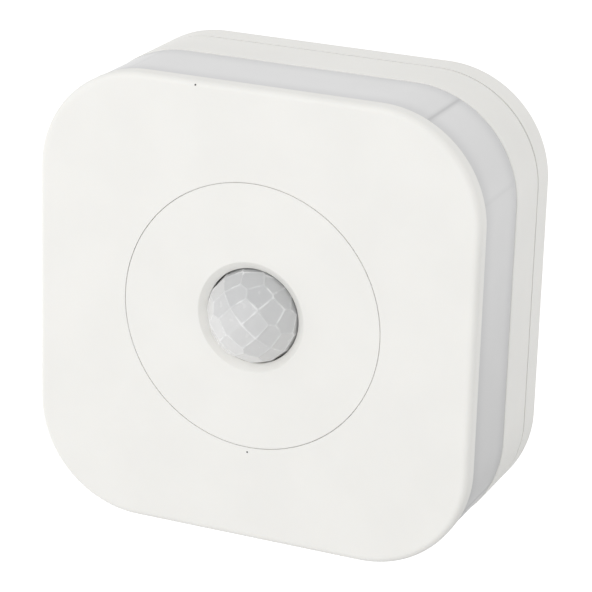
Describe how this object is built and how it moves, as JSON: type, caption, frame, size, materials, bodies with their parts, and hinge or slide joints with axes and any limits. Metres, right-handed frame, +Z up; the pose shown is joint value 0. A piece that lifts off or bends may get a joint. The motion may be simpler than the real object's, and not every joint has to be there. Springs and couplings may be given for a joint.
{
  "type": "motion sensor",
  "caption": "Square wall-mounted motion sensor with rounded corners, a faceted dome lens in a round front disc, and a translucent light band round its sides.",
  "frame": {"origin": "centre of the wall plate's flat back face, which lies on the wall", "axes": "+Y into the wall, so the sensor looks along -Y; +Z up; +X to the right for someone facing the wall"},
  "size_m": [0.09, 0.0443, 0.09],
  "materials": {
    "case_white": "fine matt moulded warm white",
    "diffuser": "milky translucent, satin",
    "lens": "translucent moulded polyethylene, satin",
    "circuit_board": "green solder mask",
    "steel": "zinc-plated",
    "nickel": "nickel-plated",
    "black_plastic": "matt moulded",
    "led_case": "white lamp case with a yellow phosphor",
    "cell_sleeve": "shrink sleeve"
  },
  "bodies": {
    "wall_plate": {"wall_plate": "case_white"},
    "sensor_unit": {"band_led_1": "led_case", "band_led_2": "led_case", "band_led_3": "led_case", "band_led_4": "led_case", "band_led_5": "led_case", "band_led_6": "led_case", "band_led_7": "led_case", "band_led_8": "led_case", "battery_cell_1": "cell_sleeve", "battery_cell_2": "cell_sleeve", "battery_cell_3": "cell_sleeve", "battery_plate_1": "nickel", "battery_plate_2": "nickel", "battery_plate_3": "nickel", "battery_spring_1": "nickel", "battery_spring_2": "nickel", "battery_spring_3": "nickel", "board_screw_1": "steel", "board_screw_2": "steel", "board_screw_3": "steel", "board_screw_4": "steel", "controller_chip": "black_plastic", "crystal_can": "steel", "diffuser_band": "diffuser", "front_cover": "case_white", "lens_disc": "case_white", "lens_dome": "lens", "lens_retainer": "case_white", "light_board": "circuit_board", "light_sensor": "black_plastic", "link_header": "black_plastic", "main_board": "circuit_board", "pir_can": "nickel", "pir_pin_1": "nickel", "pir_pin_2": "nickel", "pir_pin_3": "nickel", "pir_shroud": "case_white", "pir_window": "black_plastic", "power_choke": "black_plastic", "radio_board": "circuit_board", "radio_shield": "steel", "rear_housing": "case_white", "reflector_frame": "case_white", "retainer_screw_1": "steel", "retainer_screw_2": "steel", "storage_capacitor": "steel", "tact_switch": "black_plastic"},
    "pairing_button": {"pairing_button": "case_white", "switch_plunger": "black_plastic"}
  },
  "joints": [
    {"name": "unit_pull_off", "type": "slide", "parent": "wall_plate", "child": "sensor_unit", "axis": [0, -1, 0], "range_m": [0, 0.03]},
    {"name": "pairing_press", "type": "slide", "parent": "sensor_unit", "child": "pairing_button", "axis": [0, -1, 0], "range_m": [0, 0.0005], "stiffness_N_per_m": 800, "springref_m": -0.0008}
  ]
}
